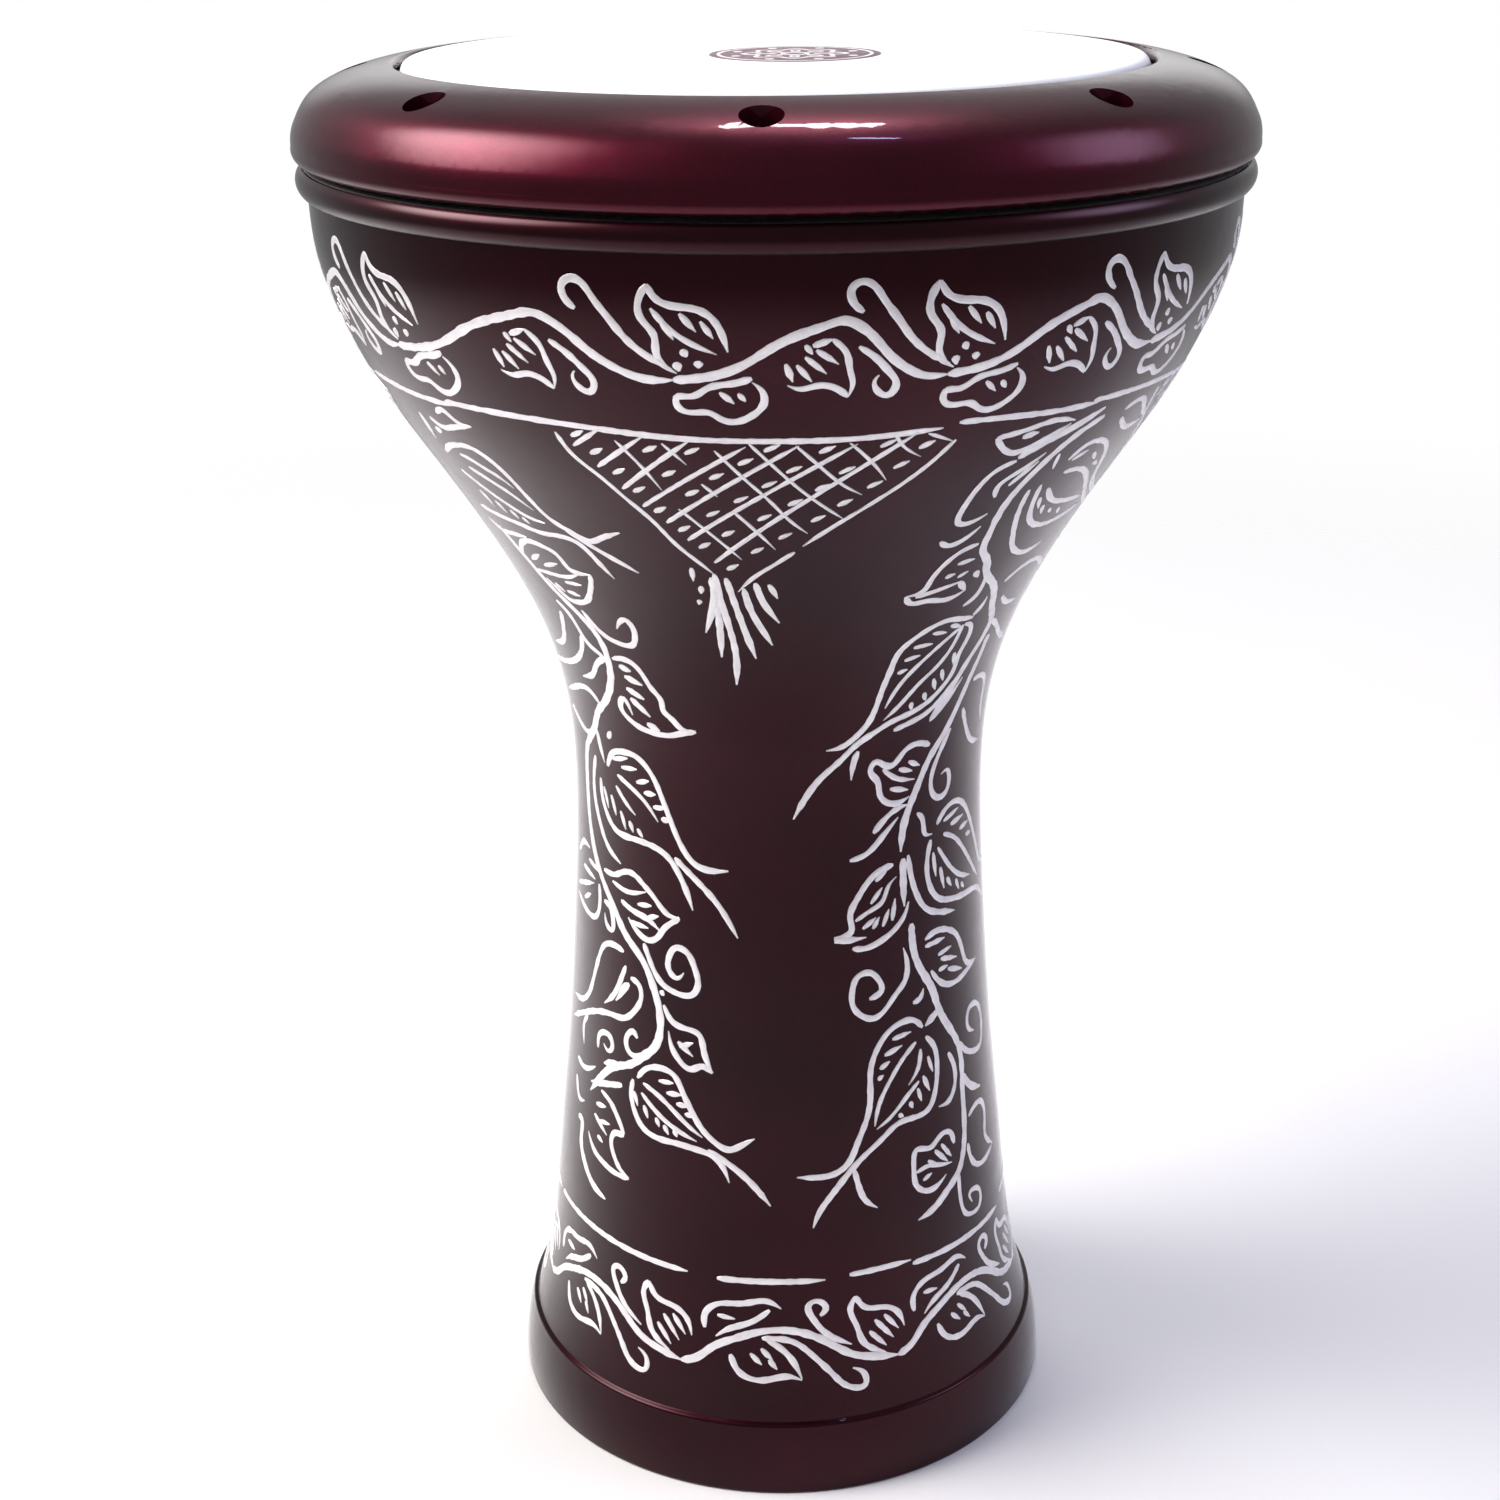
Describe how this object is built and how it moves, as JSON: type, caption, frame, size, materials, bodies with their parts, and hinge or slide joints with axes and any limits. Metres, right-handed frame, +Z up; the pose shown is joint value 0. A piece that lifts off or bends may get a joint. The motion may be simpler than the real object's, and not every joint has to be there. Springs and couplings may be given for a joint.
{
  "type": "darbuka",
  "caption": "Goblet-shaped hand drum with an engraved painted metal shell, a rolled tuning rim with recessed bolts, and a clamped white plastic head.",
  "frame": {"origin": "centre of the base ring on the floor", "axes": "+Z up along the drum's axis towards the head; -Y towards the front tension bolt"},
  "size_m": [0.2816, 0.2816, 0.4394],
  "materials": {
    "shell_paint": "deep maroon candy lacquer over cast aluminium, high gloss",
    "rim_paint": "deep maroon candy lacquer, high gloss",
    "head_plastic": "white coated polyester film, semi-gloss",
    "bare_aluminium": "bright cut aluminium",
    "resin": "cast resin",
    "badge_print": "printed mauve grey mark",
    "bolt_steel": "black oxide steel",
    "washer_steel": "zinc plated steel"
  },
  "bodies": {
    "shell": {"goblet_shell": "shell_paint", "head_badge": "badge_print"},
    "rim": {"tuning_rim": "rim_paint", "head_film": "head_plastic", "head_hoop": "bare_aluminium", "hoop_resin": "resin", "bolt_washer_1": "washer_steel", "bolt_washer_2": "washer_steel", "bolt_washer_3": "washer_steel", "bolt_washer_4": "washer_steel", "bolt_washer_5": "washer_steel", "bolt_washer_6": "washer_steel", "bolt_washer_7": "washer_steel", "bolt_washer_8": "washer_steel"},
    "bolt_1": {"tension_bolt_1": "bolt_steel"},
    "bolt_2": {"tension_bolt_2": "bolt_steel"},
    "bolt_3": {"tension_bolt_3": "bolt_steel"},
    "bolt_4": {"tension_bolt_4": "bolt_steel"},
    "bolt_5": {"tension_bolt_5": "bolt_steel"},
    "bolt_6": {"tension_bolt_6": "bolt_steel"},
    "bolt_7": {"tension_bolt_7": "bolt_steel"},
    "bolt_8": {"tension_bolt_8": "bolt_steel"}
  },
  "joints": [
    {"name": "rim_travel", "type": "slide", "parent": "shell", "child": "rim", "axis": [0, 0, 1], "range_m": [-0.0015, 0.003], "deforming": ["head_film"]},
    {"name": "bolt_turn_1", "type": "hinge", "parent": "rim", "child": "bolt_1", "pos_m": [0.1253, 0, 0.4256], "axis": [0, 0, 1], "range_deg": [-540, 1080]},
    {"name": "bolt_turn_2", "type": "hinge", "parent": "rim", "child": "bolt_2", "pos_m": [0.0886, 0.0886, 0.4256], "axis": [0, 0, 1], "range_deg": [-540, 1080]},
    {"name": "bolt_turn_3", "type": "hinge", "parent": "rim", "child": "bolt_3", "pos_m": [0, 0.1253, 0.4256], "axis": [0, 0, 1], "range_deg": [-540, 1080]},
    {"name": "bolt_turn_4", "type": "hinge", "parent": "rim", "child": "bolt_4", "pos_m": [-0.0886, 0.0886, 0.4256], "axis": [0, 0, 1], "range_deg": [-540, 1080]},
    {"name": "bolt_turn_5", "type": "hinge", "parent": "rim", "child": "bolt_5", "pos_m": [-0.1253, 0, 0.4256], "axis": [0, 0, 1], "range_deg": [-540, 1080]},
    {"name": "bolt_turn_6", "type": "hinge", "parent": "rim", "child": "bolt_6", "pos_m": [-0.0886, -0.0886, 0.4256], "axis": [0, 0, 1], "range_deg": [-540, 1080]},
    {"name": "bolt_turn_7", "type": "hinge", "parent": "rim", "child": "bolt_7", "pos_m": [0, -0.1253, 0.4256], "axis": [0, 0, 1], "range_deg": [-540, 1080]},
    {"name": "bolt_turn_8", "type": "hinge", "parent": "rim", "child": "bolt_8", "pos_m": [0.0886, -0.0886, 0.4256], "axis": [0, 0, 1], "range_deg": [-540, 1080]}
  ],
  "couplings": [
    {"joint": "bolt_turn_1", "follows": "rim_travel", "rad_per_m": 6283.2},
    {"joint": "bolt_turn_2", "follows": "rim_travel", "rad_per_m": 6283.2},
    {"joint": "bolt_turn_3", "follows": "rim_travel", "rad_per_m": 6283.2},
    {"joint": "bolt_turn_4", "follows": "rim_travel", "rad_per_m": 6283.2},
    {"joint": "bolt_turn_5", "follows": "rim_travel", "rad_per_m": 6283.2},
    {"joint": "bolt_turn_6", "follows": "rim_travel", "rad_per_m": 6283.2},
    {"joint": "bolt_turn_7", "follows": "rim_travel", "rad_per_m": 6283.2},
    {"joint": "bolt_turn_8", "follows": "rim_travel", "rad_per_m": 6283.2}
  ]
}
